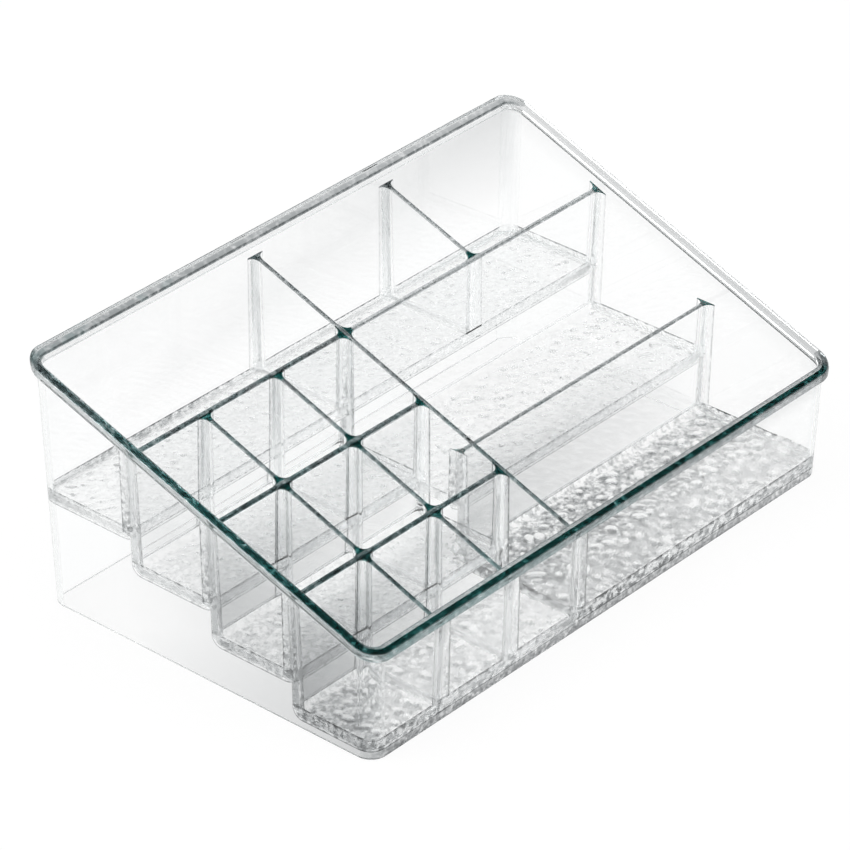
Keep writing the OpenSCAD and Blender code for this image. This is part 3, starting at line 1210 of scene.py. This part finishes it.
# Name, place, width and power of each softbox, and the point that they face
SOFTBOXES = (
    ("key_softbox", (-0.55, 0.25, 0.95), 0.5, 4.0),
    ("fill_softbox", (0.1, -0.95, 0.7), 0.6, 2.5),
)
LIT_POINT = (0.0, 0.0, 0.04)
# The photograph's camera: azimuth, elevation and roll in degrees, its place from the middle, the
# foot's front edge and the ground, and its focal length in pixels of a picture as wide as PICTURE_W
CAMERA_TURN = (-49.525, 31.57, 0.576)
CAMERA_PLACE = (-1.1190, -0.8739, 0.9443)
FOCAL_PIXELS = 5065.2
PICTURE_W = 850
SENSOR_W = 36.0
CAMERA_CLIP = (0.05, 60.0)


class ORGANIZER_OT_stage(bpy.types.Operator):
    """Make the floor, the light and the camera"""

    bl_idname = "organizer.stage"
    bl_label = "Studio"

    def execute(self, context):
        self.floor()
        self.world(context.scene)
        self.lamps()
        self.camera(context.scene)
        self.render(context.scene)
        return {"FINISHED"}

    def floor(self):
        mesh = bpy.data.meshes.new("studio_floor")
        turns = ((-1, -1), (1, -1), (1, 1), (-1, 1))
        corners = [(x * FLOOR_REACH, y * FLOOR_REACH, FLOOR_Z) for x, y in turns]
        mesh.from_pydata(corners, [], [(0, 1, 2, 3)])
        floor = add_object("studio_floor", mesh)
        material = bpy.data.materials.new("pale floor")
        tree = Tree(material)
        seen = self.seen(tree)
        glow = tree.node("ShaderNodeEmission", {}, {"Color": (*looks().floor, 1.0), "Strength": 1.0})
        matt = tree.node("ShaderNodeBsdfDiffuse", {}, {"Color": FLOOR_PAINT})
        mixed = tree.node("ShaderNodeMixShader", {}, {0: seen * FLOOR_GLOW, 1: matt, 2: glow})
        tree.output("ShaderNodeOutputMaterial", mixed)
        mesh.materials.append(material)

    def seen(self, tree):
        """1 for rays that see the studio: straight, mirrored or through clear plastic."""
        path = "ShaderNodeLightPath"
        camera = tree.node(path, out=0)
        glossy = tree.node(path, out=3)
        through = tree.node(path, out=6)
        return (camera + glossy + through).clamped()

    def world(self, scene):
        world = bpy.data.worlds.new("studio")
        scene.world = world
        tree = Tree(world)
        way = tree.node("ShaderNodeTexCoord", out=0)
        flag = tree.node("ShaderNodeVectorMath", {"operation": "DOT_PRODUCT"}, {0: way, 1: MIRRORED}, out=1)
        stops = [(FLAG_EDGE[0], WHITE), (FLAG_EDGE[1], tuple(looks().dark))]
        band = tree.node("ShaderNodeValToRGB", {"stops": stops}, {0: flag})
        camera = tree.node("ShaderNodeLightPath", out=0)
        diffuse = tree.node("ShaderNodeLightPath", out=2)
        plain = (camera + diffuse).clamped()
        sockets = {"Factor": plain, 6: band, 7: (*WHITE, 1.0)}
        colour = tree.node("ShaderNodeMix", {"data_type": "RGBA"}, sockets, out=2)
        sky = tree.node("ShaderNodeBackground", {}, {"Color": colour, "Strength": 1.0})
        tree.output("ShaderNodeOutputWorld", sky)

    def lamps(self):
        for name, spot, size, watts in SOFTBOXES:
            lamp = bpy.data.lights.new(name, "AREA")
            lamp.shape, lamp.size, lamp.energy = "SQUARE", size, watts
            softbox = add_object(name, lamp)
            softbox.location = spot
            softbox.rotation_euler = (Vector(LIT_POINT) - Vector(spot)).to_track_quat("-Z", "Y").to_euler()

    def camera(self, scene):
        azimuth, elevation, roll = (math.radians(turn) for turn in CAMERA_TURN)
        away = Vector((math.sin(azimuth), -math.cos(azimuth), 0)) * math.cos(elevation)
        back = away + Vector((0, 0, math.sin(elevation)))
        right = Vector((math.cos(azimuth), math.sin(azimuth), 0))
        up = back.cross(right)
        r = right * math.cos(roll) + up * math.sin(roll)
        u = up * math.cos(roll) - right * math.sin(roll)
        data = bpy.data.cameras.new("photo_camera")
        data.sensor_width, data.lens = SENSOR_W, SENSOR_W * FOCAL_PIXELS / PICTURE_W
        data.clip_start, data.clip_end = CAMERA_CLIP
        camera = add_object("photo_camera", data)
        x, from_front, z = CAMERA_PLACE
        spot = Matrix.Translation((x, Layout().depth(from_front), z))
        camera.matrix_world = spot @ Matrix((r, u, back)).transposed().to_4x4()
        scene.camera = camera

    def render(self, scene):
        scene.view_settings.view_transform = "Standard"
        scene.cycles.max_bounces = 96
        scene.cycles.transmission_bounces = 64
        # Each total reflection inside the plastic counts as a glossy bounce
        scene.cycles.glossy_bounces = 96
        scene.cycles.diffuse_bounces = 2


# Add-on


class ORGANIZER_PT_panel(bpy.types.Panel):
    """Lists the sizes, the colours and the operators"""

    bl_label = "Vanity Organizer"
    bl_idname = "ORGANIZER_PT_panel"
    bl_space_type = "VIEW_3D"
    bl_region_type = "UI"
    bl_category = "Organizer"

    def draw(self, context):
        for group in (context.scene.organizer_sizes, context.scene.organizer_looks):
            column = self.layout.column(align=True)
            for name in group.__annotations__:
                column.prop(group, name)
        for operator in OPERATORS:
            self.layout.operator(operator.bl_idname)


OPERATORS = (
    ORGANIZER_OT_materials,
    ORGANIZER_OT_walls,
    ORGANIZER_OT_rim,
    ORGANIZER_OT_cross_walls,
    ORGANIZER_OT_dividers,
    ORGANIZER_OT_floors,
    ORGANIZER_OT_stage,
)
CLASSES = (ORGANIZER_PG_sizes, ORGANIZER_PG_looks, *OPERATORS, ORGANIZER_PT_panel)


def register():
    for each in CLASSES:
        bpy.utils.register_class(each)
    bpy.types.Scene.organizer_sizes = bpy.props.PointerProperty(type=ORGANIZER_PG_sizes)
    bpy.types.Scene.organizer_looks = bpy.props.PointerProperty(type=ORGANIZER_PG_looks)


def unregister():
    del bpy.types.Scene.organizer_looks
    del bpy.types.Scene.organizer_sizes
    for each in reversed(CLASSES):
        bpy.utils.unregister_class(each)


def main():
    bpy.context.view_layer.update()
    register()
    for operator in OPERATORS:
        group, name = operator.bl_idname.split(".")
        getattr(getattr(bpy.ops, group), name)()


if __name__ == "__main__":
    main()
